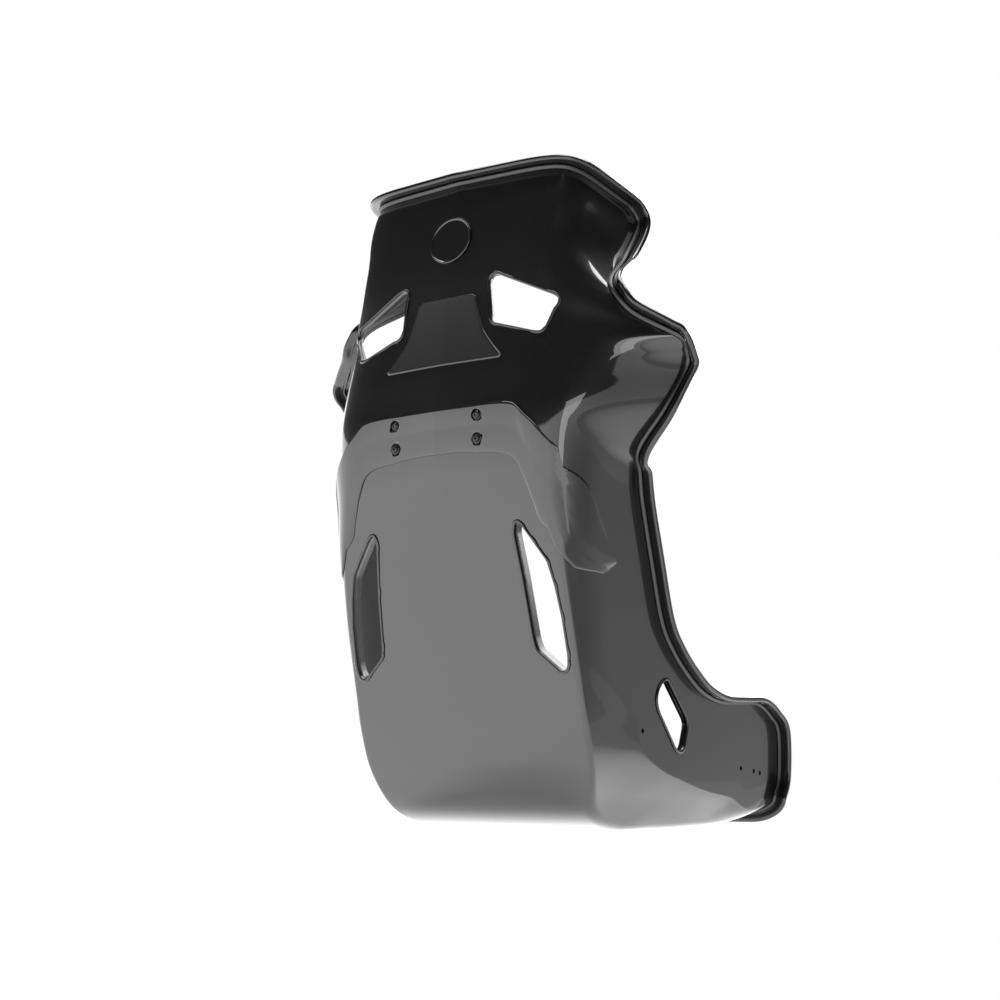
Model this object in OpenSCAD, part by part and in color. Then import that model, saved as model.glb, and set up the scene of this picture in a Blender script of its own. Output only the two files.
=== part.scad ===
// Fixed-back racing seat. Millimetres. The seat faces -Y, +Z is up,
// the occupant's right hand is on the -X side.

/* [Shell] */
// Added to every half width of the shell
width_add = 0; // [0:1:20]
// Laminate thickness of the seat shell
wall_t = 4; // [3:0.5:6]
// Distance from the rear of the shell to the middle of the seat
rear_y = 314.5; // [300:0.5:340]

/* [Rim] */
// How far the front flange stands out from the shell wall
flange_w = 20; // [12:1:28]
// Thickness of the front flange
flange_t = 9; // [6:0.5:14]
// Width of the sealing bead in the corner behind the flange
bead_w = 5; // [3:0.5:8]

/* [Harness slots] */
// Wall thickness of the slot liners
liner_t = 2.5; // [2:0.5:4]
// Depth of the long back slot liners
long_depth = 20; // [12:1:30]
// Depth of the shoulder and lap slot liners
belt_depth = 9; // [7:0.5:16]

/* [Rear brace] */
// Thickness of the rear brace
brace_t = 5; // [3:0.5:8]
// Distance across the two columns of brace screws
screw_dx = 144; // [100:1:180]
// Height between the two rows of brace screws
screw_dz = 33; // [25:1:50]
// Thread radius of the brace screws
screw_r = 3; // [2.5:0.5:4]

/* [Side mounts] */
// Thread radius of the side mount inserts
mount_r = 3; // [3:0.5:5]
// Outer radius of the side mount inserts
insert_r = 7; // [6:0.5:9]
// Length of the side mount inserts
insert_l = 9; // [9:1:16]
// Distance from the rear insert to the first front insert
mount_span = 290; // [270:1:300]

/* [Cushions] */
// Thickness of the back and seat cushions
pad_t = 26; // [15:1:40]
// Thickness of the side cushions
side_pad_t = 18; // [10:1:25]

/* [Hidden] */

// One row per cross-section, from the top edge round to the front lip:
// [back distance, back height, back half width, forward step of the corner,
//  corner radius, side bend x, side bend position 0..1, side bend softness,
//  rim x, rim distance, rim height]
STATIONS = [
  [52, 935, 150, 12, 50, 181, 0.15, 1.1, 178, 238, 915],
  [47, 912, 154, 10, 50, 186, 0.12, 1.1, 184, 252, 888],
  [38, 872, 158, 8, 50, 183, 0.14, 1.1, 188, 203, 823],
  [30, 828, 160, 8, 50, 180, 0.28, 1.1, 218, 118, 766],
  [25, 785, 162, 8, 50, 190, 0.36, 1.1, 236, 108, 738],
  [22, 745, 163, 8, 50, 205, 0.38, 1.1, 258, 122, 712],
  [18, 708, 164, 8, 50, 213, 0.36, 1.1, 294, 150, 690],
  [13, 672, 165, 8, 50, 217, 0.32, 1.1, 308, 163, 680],
  [8, 640, 166, 8, 48, 218, 0.26, 1.1, 306, 177, 666],
  [4, 608, 168, 8, 44, 216, 0.2, 1.1, 300, 186, 644],
  [1, 576, 170, 6, 38, 213, 0.19, 1.1, 278, 163, 585],
  [0, 545, 172, 5, 30, 210, 0.2, 1.1, 238, 156, 530],
  [3, 500, 178, 4, 24, 209, 0.19, 1.1, 222, 184, 505],
  [9, 460, 184, 2, 18, 208, 0.18, 1.1, 213, 204, 465],
  [22, 390, 191, 0, 10, 206, 0.14, 1, 208, 236, 382],
  [38, 310, 196, 0, 8, 206, 0.2, 0.8, 206, 266, 298],
  [51, 250, 197, 0, 8, 205, 0.16, 0.6, 205, 300, 257],
  [63, 200, 198, 0, 8, 205, 0.2, 0.4, 205, 338, 227],
  [78, 140, 199, 0, 8, 205, 0.35, 0.12, 205, 381, 203],
  [98, 80, 194, 0, 8, 205, 0.31, 0.08, 205, 436, 190],
  [128, 26, 176, 0, 14, 205, 0.34, 0.08, 205, 502, 190],
  [200, 3, 168, 0, 18, 205, 0.33, 0.08, 205, 560, 190],
  [300, 0.3, 166, 0, 20, 205, 0.29, 0.1, 205, 602, 172],
  [400, 1, 168, 0, 20, 205, 0.26, 0.15, 205, 630, 146],
  [510, 6, 172, 0, 20, 205, 0.22, 0.25, 205, 628, 76],
  [612, 24, 176, 0, 20, 202, 0.5, 0.6, 205, 612, 46]
];
LAST = len(STATIONS) - 1;
ROWS = 50;
COLS = [0, .25, .5, .75, 1, 1.33, 1.67, 2, 2.5, 3, 3.25, 3.5, 3.75, 4, 4.33, 4.67, 5];

// --- shell surface -----------------------------------------------------
function unit(v) = v / max(norm(v), 1e-9);
function spline(a, b, c, d, u) =
  0.5 * (2*b + (c - a)*u + (2*a - 5*b + 4*c - d)*u*u + (3*b - a - 3*c + d)*u*u*u);
function station(t) =
  let (i = max(0, min(floor(t), LAST - 1)), u = t - i)
  spline(STATIONS[max(i - 1, 0)], STATIONS[i], STATIONS[i + 1],
         STATIONS[min(i + 2, LAST)], u);
function bend(a, b, c, t) = (1 - t)*(1 - t)*a + 2*t*(1 - t)*b + t*t*c;

// Point on the right half of the outer surface, as [half width, distance
// forward of the rear, height]; c runs 0 at the middle to 5 at the rim
function half_point(s, c) =
  let (
    spine = [0, s[0], s[1]],
    edge = [s[2] + width_add, s[0] + s[3], s[1]],
    rim = [s[8] + width_add, s[9], s[10]],
    mid = edge + (rim - edge) * s[6],
    side = [s[5] + width_add, mid[1], mid[2]],
    le = norm(side - edge),
    lf = norm(rim - side),
    a = edge + unit(spine - edge) * s[4],
    b = edge + unit(side - edge) * min(s[4], 0.45 * le),
    p = side + unit(edge - side) * 0.5 * le,
    q = side + unit(rim - side) * min(0.6 * lf, s[7] * le)
  )
  c < 1 ? spine + (a - spine) * c :
  c < 2 ? bend(a, edge, b, c - 1) :
  c < 3 ? b + (p - b) * (c - 2) :
  c < 4 ? bend(p, side, q, c - 3) : q + (rim - q) * (c - 4);

function raw(t, c) =
  let (p = half_point(station(t), abs(c))) c < 0 ? [-p[0], p[1], p[2]] : p;
function outward(t, c) =
  let (
    e = 0.04,
    t0 = max(t - e, 0), t1 = min(t + e, LAST),
    c0 = max(c - e, -5), c1 = min(c + e, 5),
    k = t > LAST - 1 ? max(-3, min(3, c)) : c
  )
  unit(cross(raw(t1, k) - raw(t0, k), raw(t, c1) - raw(t, c0)));
// Point at a height above the outer surface (negative is inside the seat)
function skin(t, c, h) = raw(t, c) + outward(t, c) * h;
// From seat measures to the part's own X, Y, Z
function place(p) = [-p[0], rear_y - p[1], p[2]];

function all_cols() = concat([for (i = [len(COLS) - 1:-1:1]) -COLS[i]], COLS);

// Closed sheet between two point grids of the same size
module sheet_solid(top, low) {
  n = len(top);
  m = len(top[0]);
  pts = concat([for (r = top, p = r) place(p)], [for (r = low, p = r) place(p)]);
  k = n * m;
  faces = concat(
    [for (i = [0:n-2], j = [0:m-2]) [i*m+j, i*m+j+1, (i+1)*m+j+1]],
    [for (i = [0:n-2], j = [0:m-2]) [i*m+j, (i+1)*m+j+1, (i+1)*m+j]],
    [for (i = [0:n-2], j = [0:m-2]) [k+i*m+j, k+(i+1)*m+j+1, k+i*m+j+1]],
    [for (i = [0:n-2], j = [0:m-2]) [k+i*m+j, k+(i+1)*m+j, k+(i+1)*m+j+1]],
    [for (j = [0:m-2]) [j, k+j, k+j+1]],
    [for (j = [0:m-2]) [j, k+j+1, j+1]],
    [for (j = [0:m-2]) [(n-1)*m+j, (n-1)*m+j+1, k+(n-1)*m+j+1]],
    [for (j = [0:m-2]) [(n-1)*m+j, k+(n-1)*m+j+1, k+(n-1)*m+j]],
    [for (i = [0:n-2]) [i*m, (i+1)*m, k+(i+1)*m]],
    [for (i = [0:n-2]) [i*m, k+(i+1)*m, k+i*m]],
    [for (i = [0:n-2]) [i*m+m-1, k+(i+1)*m+m-1, (i+1)*m+m-1]],
    [for (i = [0:n-2]) [i*m+m-1, k+i*m+m-1, k+(i+1)*m+m-1]]
  );
  polyhedron(pts, faces, convexity = 8);
}

// --- shell and its openings ---------------------------------------------
SHOULDER_SLOT = [[77,776],[75,771],[81,712],[86,706],[154,685],[161,686],[179,724],[180,731],[175,736],[84,779]];
LONG_SLOT = [[124,418],[121,406],[128,340],[133,262],[136,248],[168,220],[175,217],[182,224],[184,240],[182,290],[177,330],[169,364],[150,392],[134,414],[129,419]];
LAP_SLOT = [[272,212],[284,213],[291,205],[337,158],[338,149],[326,118],[316,113],[303,117],[257,170],[252,184],[258,200]];
CROTCH = [360, 100, 30];

module shell_body() {
  cols = all_cols();
  outer = [for (i = [0:ROWS]) [for (c = cols) raw(i * LAST / ROWS, c)]];
  inner = [for (i = [0:ROWS]) [for (c = cols) skin(i * LAST / ROWS, c, -wall_t)]];
  sheet_solid(outer, inner);
}

module both_sides() {
  children();
  mirror([1, 0, 0]) children();
}
// Insert positions as [distance, height]
MOUNTS = [[212, 140], [212 + mount_span, 89], [254 + mount_span, 85], [274 + mount_span, 82]];
side_x = 205 + width_add;

module seat_shell() {
  color([0.05, 0.05, 0.055])
    difference() {
      resize([0, 0, 0]) difference() {
        shell_body();
        both_sides() slot_frame() translate([0, 0, -25])
          linear_extrude(60) offset(delta = liner_t + 0.2) slot_flat();
        both_sides() long_frame() translate([0, 0, -45])
          linear_extrude(75) offset(delta = liner_t + 0.2) long_flat();
        both_sides() lap_cut();
        crotch_cut();
        brace_cut();
      }
      both_sides() insert_cut();
    }
}

// Local frame on the back at a shoulder slot, +Z pointing out of the back
slot_c = [128, 29, 731];
slot_tilt = 8;
module slot_frame() {
  translate(place(slot_c)) rotate([0, 0, slot_tilt]) rotate([-90, 0, 0]) children();
}
module slot_flat() {
  polygon([for (p = SHOULDER_SLOT) [-(p[0] - slot_c[0]) / cos(slot_tilt), -(p[1] - slot_c[2])]]);
}
long_c = [153, 39, 318];
long_tilt = 12;
module long_frame() {
  translate(place(long_c)) rotate([-90 - long_tilt, 0, 0]) children();
}
module long_flat() {
  polygon([for (p = LONG_SLOT) [-(p[0] - long_c[0]), -(p[1] - long_c[2]) / cos(long_tilt)]]);
}
module lap_flat() {
  polygon([for (p = LAP_SLOT) [rear_y - p[0], p[1]]]);
}
module lap_cut() {
  translate([-side_x - 20, 0, 0]) rotate([90, 0, 90])
    linear_extrude(50) offset(delta = liner_t + 0.2) lap_flat();
}
module insert_cut() {
  for (m = MOUNTS)
    translate([-side_x - 10, rear_y - m[0], m[1]]) rotate([0, 90, 0])
      cylinder(h = 40, r = mount_r + 0.5, $fn = 36);
}
module crotch_cut() {
  translate([0, rear_y - CROTCH[0], -5]) linear_extrude(40)
    offset(r = 10 + liner_t + 0.2, $fn = 32)
      square([CROTCH[1] - 20, CROTCH[2] - 20], center = true);
}
module brace_cut() {
  for (x = [-1, 1], z = [0, 1])
    translate([x * screw_dx / 2, rear_y - 30, 539 + z * screw_dz]) rotate([-90, 0, 0])
      cylinder(h = 60, r = 5.1, $fn = 32);
}

// --- rim ----------------------------------------------------------------
function rim_params() = concat(
  [for (i = [0:len(COLS) - 1]) [0, COLS[i]]],
  [for (i = [1:ROWS]) [i * LAST / ROWS, 5]],
  [for (i = [len(COLS) - 2:-1:1]) [LAST, COLS[i]]]
);
function rim_loop() =
  let (h = rim_params(), n = len(h))
  concat(h, [[LAST, 0]], [for (i = [n - 1:-1:1]) [h[i][0], -h[i][1]]]);

// Sweep of a profile of [out of the wall, past the edge] points round the rim
module rim_sweep(profile) {
  loop = rim_loop();
  n = len(loop);
  m = len(profile);
  base = [for (q = loop) raw(q[0], q[1])];
  nrm = [for (q = loop) outward(q[0], q[1])];
  tang = [for (i = [0:n-1]) unit(base[(i + 1) % n] - base[(i + n - 1) % n])];
  past = [for (i = [0:n-1]) unit(cross(nrm[i], tang[i]))];
  pts = [for (i = [0:n-1], q = profile) place(base[i] + nrm[i] * q[0] + past[i] * q[1])];
  faces = concat(
    [for (i = [0:n-1], j = [0:m-1])
      [i*m+j, ((i+1)%n)*m+(j+1)%m, ((i+1)%n)*m+j]],
    [for (i = [0:n-1], j = [0:m-1])
      [i*m+j, i*m+(j+1)%m, ((i+1)%n)*m+(j+1)%m]]
  );
  polyhedron(pts, faces, convexity = 8);
}
module rim_flange() {
  f = flange_w;
  t = flange_t;
  color([0.06, 0.06, 0.065])
    rim_sweep([[-wall_t, 0.3], [-wall_t, t - 2], [-wall_t + 2, t], [f - 6, t], [f - 1.5, t - 2],
               [f, t - 5], [f, 1], [f - 1.5, -1.5], [f - 5, -2], [bead_w + 2, 0.3]]);
}
module rim_bead() {
  b = bead_w;
  color([0.02, 0.02, 0.02])
    rim_sweep([[0.2, 0], [b, 0], [b, -b * 0.5], [b * 0.6, -b], [0.2, -b * 1.1]]);
}

// --- rear brace -----------------------------------------------------------
// Pairs of [row, column] on the shell: lower seam edge and upper outer edge
BRACE = [
  [[11.50, 0.00], [9.70, 0.00]], [[11.50, 0.25], [9.70, 0.25]], [[11.58, 0.50], [9.70, 0.50]],
  [[11.68, 0.75], [9.70, 0.78]], [[11.95, 0.87], [9.85, 1.02]], [[12.55, 0.90], [10.60, 1.30]],
  [[13.25, 0.92], [11.55, 1.90]], [[13.75, 0.97], [12.50, 3.30]], [[14.20, 1.35], [13.20, 3.85]],
  [[14.42, 2.80], [13.75, 4.15]], [[14.42, 4.10], [14.25, 4.30]]
];
function brace_pair(u) =
  let (n = len(BRACE) - 1, s = abs(u) * n, i = min(floor(s), n - 1), f = s - i,
       a = spline(BRACE[max(i - 1, 0)], BRACE[i], BRACE[i + 1], BRACE[min(i + 2, n)], f))
  u < 0 ? [[a[0][0], -a[0][1]], [a[1][0], -a[1][1]]] : a;
function brace_point(u, v, h) =
  let (p = brace_pair(u), q = p[0] + (p[1] - p[0]) * v) skin(q[0], q[1], h);
module rear_brace() {
  us = [for (i = [-16:16]) i / 16];
  vs = [0, .04, .2, .4, .6, .8, .96, 1];
  hs = [for (k = [.25, .55, .62, .78, 1, 1.25, 1.6, 1.35]) k * brace_t];
  top = [for (u = us) [for (j = [0:7]) brace_point(u, vs[j], abs(u) > 0.99 ? 1.5 : hs[j])]];
  low = [for (u = us) [for (j = [0:7]) brace_point(u, vs[j], 0.3)]];
  color([0.09, 0.09, 0.095])
    resize([0, 0, 0]) difference() {
      sheet_solid(low, top);
      brace_cut();
      at_screws() translate([0, 0, 0]) cylinder(h = 20, r = washer_r + 0.3, $fn = 48);
    }
}
washer_r = 7.5;
module at_screws() {
  for (x = [-1, 1], z = [0, 1])
    translate([x * screw_dx / 2, rear_y, 539 + z * screw_dz]) rotate([-90, 0, 0]) children();
}
module brace_screws() {
  color([0.1, 0.1, 0.1]) at_screws() difference() {
    union() {
      translate([0, 0, 1.65]) cylinder(h = 3.3, r1 = 5.3, r2 = 3.6, $fn = 48);
      translate([0, 0, -8.6]) cylinder(h = 10.5, r = screw_r, $fn = 48);
    }
    translate([0, 0, 2.9]) cylinder(h = 3, r = 2.3, $fn = 6);
  }
}
module brace_washers() {
  color([0.12, 0.12, 0.12]) at_screws() translate([0, 0, 0.1]) difference() {
    cylinder(h = 1.5, r = washer_r, $fn = 48);
    translate([0, 0, -1]) cylinder(h = 4, r = screw_r + 0.2, $fn = 48);
  }
}
module brace_inserts() {
  color([0.6, 0.6, 0.55]) at_screws() difference() {
    union() {
      translate([0, 0, -8]) cylinder(h = 7.9, r = 5, $fn = 48);
      translate([0, 0, -9]) cylinder(h = 1.3, r = 9, $fn = 48);
    }
    translate([0, 0, -12]) cylinder(h = 20, r = screw_r + 0.05, $fn = 48);
  }
}

// --- panels on the upper back --------------------------------------------
// Rows and half widths of the centre panel between the shoulder slots
PANEL = [[4.75, 44], [4.85, 51], [5.3, 55], [6.3, 68], [6.9, 84], [7.45, 99], [7.6, 96]];
module centre_panel() {
  ks = [for (i = [-6:6]) i / 6];
  low = [for (p = PANEL) [for (k = ks) skin(p[0], k * p[1] / 113, 0.3)]];
  top = [for (p = PANEL) [for (k = ks) skin(p[0], k * p[1] / 113, 1.8)]];
  color([0.07, 0.07, 0.075]) sheet_solid(low, top);
}
module blank_badge() {
  color([0.1, 0.1, 0.11]) translate(place([0, 33, 843])) rotate([-79, 0, 0])
    translate([0, 0, 0.6]) cylinder(h = 1.6, r = 36, $fn = 96);
}

// --- slot liners ------------------------------------------------------------
lip_depth = 16;
module ring(h) {
  linear_extrude(h) difference() {
    offset(delta = liner_t) children();
    children();
  }
}
module shoulder_slot_liner_right() {
  color([0.03, 0.03, 0.03]) slot_frame() translate([0, 0, 4 - lip_depth]) ring(lip_depth) slot_flat();
}
module shoulder_slot_liner_left() {
  mirror([1, 0, 0]) shoulder_slot_liner_right();
}
module long_slot_liner_right() {
  color([0.03, 0.03, 0.03]) long_frame() translate([0, 0, 2 - long_depth]) ring(long_depth) long_flat();
}
module long_slot_liner_left() {
  mirror([1, 0, 0]) long_slot_liner_right();
}
module lap_slot_liner_right() {
  color([0.03, 0.03, 0.03]) translate([-side_x - 2, 0, 0]) rotate([90, 0, 90])
    ring(belt_depth + 2) lap_flat();
}
module lap_slot_liner_left() {
  mirror([1, 0, 0]) lap_slot_liner_right();
}
module crotch_slot_liner() {
  color([0.03, 0.03, 0.03]) translate([0, rear_y - CROTCH[0], 0.5]) linear_extrude(10)
    difference() {
      offset(r = 10 + liner_t, $fn = 32) square([CROTCH[1] - 20, CROTCH[2] - 20], center = true);
      offset(r = 10, $fn = 32) square([CROTCH[1] - 20, CROTCH[2] - 20], center = true);
    }
}

// --- side mounts --------------------------------------------------------------
module side_inserts_right() {
  color([0.62, 0.6, 0.55])
    for (m = MOUNTS)
      translate([-side_x + wall_t + 0.3, rear_y - m[0], m[1]]) rotate([0, 90, 0]) difference() {
        cylinder(h = insert_l, r = insert_r, $fn = 64);
        translate([0, 0, -1]) cylinder(h = insert_l + 2, r = mount_r, $fn = 64);
      }
}
module side_inserts_left() {
  mirror([1, 0, 0]) side_inserts_right();
}
// Inner plate that spreads the load of the inserts into the laminate
module mount_plate_right() {
  color([0.5, 0.5, 0.5])
    translate([-side_x + wall_t + 0.3, 0, 0]) rotate([90, 0, 90]) difference() {
      linear_extrude(4) offset(r = 8, $fn = 48)
        polygon([[rear_y - 492, 80], [rear_y - 570, 78], [rear_y - 570, 94], [rear_y - 492, 98]]);
      for (m = [MOUNTS[1], MOUNTS[2], MOUNTS[3]])
        translate([rear_y - m[0], m[1], -1]) cylinder(h = 8, r = insert_r + 0.1, $fn = 48);
    }
}
module mount_plate_left() {
  mirror([1, 0, 0]) mount_plate_right();
}

// --- cushions ------------------------------------------------------------------
// Crowned pad on the inner surface between two rows and two columns; gap is
// the clearance behind it and t its thickness in the middle
module pad(t0, t1, c0, c1, t, n, m, gap = wall_t + 0.5) {
  function crown(u) = pow(max(0, 1 - pow(abs(2 * u - 1), 4)), 0.5);
  top = [for (i = [0:n]) [for (j = [0:m])
    skin(t0 + (t1 - t0) * i / n, c0 + (c1 - c0) * j / m, -gap)]];
  low = [for (i = [0:n]) [for (j = [0:m])
    skin(t0 + (t1 - t0) * i / n, c0 + (c1 - c0) * j / m,
         -gap - 5 - (t - 5) * crown(i / n) * crown(j / m))]];
  sheet_solid(top, low);
}
module head_cushion() {
  color([0.12, 0.12, 0.13]) pad(0.6, 4.1, -1.4, 1.4, pad_t, 10, 12);
}
module head_bolster_right() {
  color([0.12, 0.12, 0.13]) pad(0.7, 3.2, 3.1, 4.75, side_pad_t, 10, 8);
}
module head_bolster_left() {
  mirror([1, 0, 0]) head_bolster_right();
}
module shoulder_cushion_right() {
  color([0.12, 0.12, 0.13]) pad(7.7, 11.3, 2.4, 4.75, side_pad_t, 10, 8);
}
module shoulder_cushion_left() {
  mirror([1, 0, 0]) shoulder_cushion_right();
}
module back_cushion() {
  color([0.12, 0.12, 0.13]) pad(7.7, 12.3, -1.0, 1.0, pad_t, 12, 10, wall_t + 3);
}
module lumbar_cushion() {
  color([0.12, 0.12, 0.13]) pad(12.5, 18.6, -0.6, 0.6, pad_t, 14, 10);
}
module seat_cushion() {
  color([0.12, 0.12, 0.13]) resize([0, 0, 0]) difference() {
    pad(20.5, 24.7, -1.5, 1.5, pad_t, 14, 12);
    translate([0, rear_y - CROTCH[0], 0]) linear_extrude(80)
      offset(r = 12, $fn = 32) square([CROTCH[1] - 6, CROTCH[2] - 6], center = true);
  }
}
module thigh_cushion_right() {
  color([0.12, 0.12, 0.13]) pad(20.8, 23.6, 4.05, 4.8, side_pad_t, 10, 8, wall_t + insert_l + 0.8);
}
module thigh_cushion_left() {
  mirror([1, 0, 0]) thigh_cushion_right();
}

seat_shell();
rim_flange();
rim_bead();
rear_brace();
brace_screws();
brace_washers();
brace_inserts();
centre_panel();
blank_badge();
shoulder_slot_liner_right();
shoulder_slot_liner_left();
long_slot_liner_right();
long_slot_liner_left();
lap_slot_liner_right();
lap_slot_liner_left();
crotch_slot_liner();
side_inserts_right();
side_inserts_left();
mount_plate_right();
mount_plate_left();
head_cushion();
head_bolster_right();
head_bolster_left();
shoulder_cushion_right();
shoulder_cushion_left();
back_cushion();
lumbar_cushion();
seat_cushion();
thigh_cushion_right();
thigh_cushion_left();
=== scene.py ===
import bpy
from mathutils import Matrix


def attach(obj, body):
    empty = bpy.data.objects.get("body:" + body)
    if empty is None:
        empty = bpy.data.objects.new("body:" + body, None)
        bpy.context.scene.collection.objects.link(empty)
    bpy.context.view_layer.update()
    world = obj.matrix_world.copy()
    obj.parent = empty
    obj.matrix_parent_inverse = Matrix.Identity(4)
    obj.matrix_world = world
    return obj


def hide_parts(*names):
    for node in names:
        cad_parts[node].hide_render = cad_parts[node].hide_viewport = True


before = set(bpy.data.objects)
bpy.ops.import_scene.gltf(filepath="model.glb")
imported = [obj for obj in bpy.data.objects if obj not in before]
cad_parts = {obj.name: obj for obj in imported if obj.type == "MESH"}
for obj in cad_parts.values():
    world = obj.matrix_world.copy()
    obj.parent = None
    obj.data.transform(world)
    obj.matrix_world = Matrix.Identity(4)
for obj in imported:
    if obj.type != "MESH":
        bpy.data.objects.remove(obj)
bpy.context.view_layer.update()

import math

import bmesh
import bpy
import numpy as np
from mathutils import Matrix, Vector
from mathutils.bvhtree import BVHTree
from mathutils.kdtree import KDTree

# ---------------------------------------------------------------------------
# Studio: a pale floor under the seat and a plain pale surround. Gloss black
# only shows its shape by what it mirrors, so the floor is bright, the wall
# behind the camera is dark, and a few soft panels draw the long highlights.
# ---------------------------------------------------------------------------
scene = bpy.context.scene
scene.view_settings.view_transform = "Standard"
scene.view_settings.look = "None"
REAR_Y = 0.3145

eye = Vector((-1.478, REAR_Y + 1.9154, 0.0813))
yaw, pitch = math.radians(35.52), math.radians(8.88)
gaze = Vector((math.sin(yaw) * math.cos(pitch), -math.cos(yaw) * math.cos(pitch), math.sin(pitch)))
camera_data = bpy.data.cameras.new("camera")
camera_data.lens, camera_data.sensor_width = 63.0, 36.0
camera = bpy.data.objects.new("camera", camera_data)
camera.matrix_world = Matrix.Translation(eye) @ gaze.to_track_quat("-Z", "Y").to_matrix().to_4x4()
scene.collection.objects.link(camera)
scene.camera = camera


def paint(code):
    """An sRGB hex colour as linear RGBA."""
    parts = [int(code[i:i + 2], 16) / 255 for i in (1, 3, 5)]
    return (*[p / 12.92 if p <= 0.04045 else ((p + 0.055) / 1.055) ** 2.4 for p in parts], 1.0)


def add_node(tree, kind, links=(), **settings):
    """Adds a node; a setting is a property, or a socket by its name or number as s_NAME; links are (socket, from)."""
    made = tree.nodes.new(kind)
    for key, value in settings.items():
        if key.startswith("s_"):
            name = key[2:].replace("_", " ")
            made.inputs[int(name) if name.isdigit() else name].default_value = value
        else:
            setattr(made, key, value)
    for socket, source in links:
        tree.links.new(source, made.inputs[socket])
    return made


def new_material(name):
    made = bpy.data.materials.new(name)
    made.use_nodes = True
    made.node_tree.nodes.clear()
    return made, made.node_tree


def rear_rise(tree, vector, reach, levels):
    """A level that rises towards the rear right of the seat, over a reach along that direction."""
    share = add_node(tree, "ShaderNodeVectorMath", [(0, vector)], operation="DOT_PRODUCT", s_1=(0.5, 0.87, 0))
    return add_node(tree, "ShaderNodeMapRange", [("Value", share.outputs["Value"])], s_From_Min=reach[0],
                    s_From_Max=reach[1], s_To_Min=levels[0], s_To_Max=levels[1]).outputs[0]


world = bpy.data.worlds.new("studio")
scene.world = world
world.use_nodes = True
sky = world.node_tree
sky.nodes.clear()
toward = add_node(sky, "ShaderNodeTexCoord").outputs["Generated"]
height = add_node(sky, "ShaderNodeSeparateXYZ", [("Vector", toward)])
# What the lacquer mirrors: a low bright band, brighter behind the seat, under a dark ceiling
band = add_node(sky, "ShaderNodeValToRGB", [("Fac", height.outputs["Z"])])
for place, level in ((0.0, 1.0), (0.12, 0.85), (0.25, 0.8), (0.275, 0.03)):
    stop = band.color_ramp.elements.new(place)
    stop.color = (level, level, level, 1)
band.color_ramp.elements.remove(band.color_ramp.elements[0])
band.color_ramp.elements[-1].color = (0.02, 0.02, 0.02, 1)
rear_level = rear_rise(sky, toward, (-0.9, 0.7), (0.7, 3.5))
mirrored = add_node(sky, "ShaderNodeBackground", [("Color", band.outputs["Color"]), ("Strength", rear_level)])
ambient = add_node(sky, "ShaderNodeBackground", s_Color=(0.35, 0.35, 0.36, 1), s_Strength=1.0)
backdrop = add_node(sky, "ShaderNodeBackground", s_Color=(1, 1, 1, 1), s_Strength=1.0)
ray = add_node(sky, "ShaderNodeLightPath")
mix = add_node(sky, "ShaderNodeMixShader",
               [(0, ray.outputs["Is Glossy Ray"]), (1, ambient.outputs[0]), (2, mirrored.outputs[0])])
mix = add_node(sky, "ShaderNodeMixShader",
               [(0, ray.outputs["Is Camera Ray"]), (1, mix.outputs[0]), (2, backdrop.outputs[0])])
add_node(sky, "ShaderNodeOutputWorld", [("Surface", mix.outputs[0])])

floor_mesh = bpy.data.meshes.new("studio_floor")
floor_mesh.from_pydata([(-12, -12, 0), (12, -12, 0), (12, 12, 0), (-12, 12, 0)], [], [(0, 1, 2, 3)])
floor = bpy.data.objects.new("studio_floor", floor_mesh)
scene.collection.objects.link(floor)
floor_paper, tree = new_material("matt_white_studio_floor")
paper = add_node(tree, "ShaderNodeBsdfPrincipled", s_Base_Color=paint("#f6f6f6"), s_Roughness=0.9)
ray = add_node(tree, "ShaderNodeLightPath")
place = add_node(tree, "ShaderNodeNewGeometry").outputs["Position"]
rear_level = rear_rise(tree, place, (-2.0, 0.5), (0.9, 3.5))
# Painted shadow: under the seat the floor's glow, as the seat mirrors it, is a little darker, over the seat's own half
# width and half depth
spread = add_node(tree, "ShaderNodeVectorMath", [(0, place)], operation="MULTIPLY", s_1=(1 / 0.24, 1 / 0.34, 0))
reach = add_node(tree, "ShaderNodeVectorMath", [(0, spread.outputs[0])], operation="LENGTH")
shade = add_node(tree, "ShaderNodeMapRange", [("Value", reach.outputs["Value"])],
                 s_From_Min=0.8, s_From_Max=1.05, s_To_Min=0.7, s_To_Max=1.0)
shaded = add_node(tree, "ShaderNodeMath", [(0, rear_level), (1, shade.outputs[0])], operation="MULTIPLY")
level = add_node(tree, "ShaderNodeMix", [(0, ray.outputs["Is Camera Ray"]), (2, shaded.outputs[0])], s_3=1.0)
lit = add_node(tree, "ShaderNodeEmission", [("Strength", level.outputs[0])], s_Color=(1, 1, 1, 1))
either = add_node(tree, "ShaderNodeMath", [(0, ray.outputs["Is Camera Ray"]), (1, ray.outputs["Is Glossy Ray"])],
                  operation="MAXIMUM")
mix = add_node(tree, "ShaderNodeMixShader", [(0, either.outputs[0]), (1, paper.outputs[0]), (2, lit.outputs[0])])
add_node(tree, "ShaderNodeOutputMaterial", [("Surface", mix.outputs[0])])
floor_mesh.materials.append(floor_paper)


def soft_panel(name, place, aim, width, tall, power):
    data = bpy.data.lights.new(name, "AREA")
    data.shape, data.size, data.size_y, data.energy = "RECTANGLE", width, tall, power
    panel = bpy.data.objects.new(name, data)
    turn = (Vector(aim) - Vector(place)).to_track_quat("-Z", "Y").to_matrix().to_4x4()
    panel.matrix_world = Matrix.Translation(place) @ turn
    scene.collection.objects.link(panel)


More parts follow.
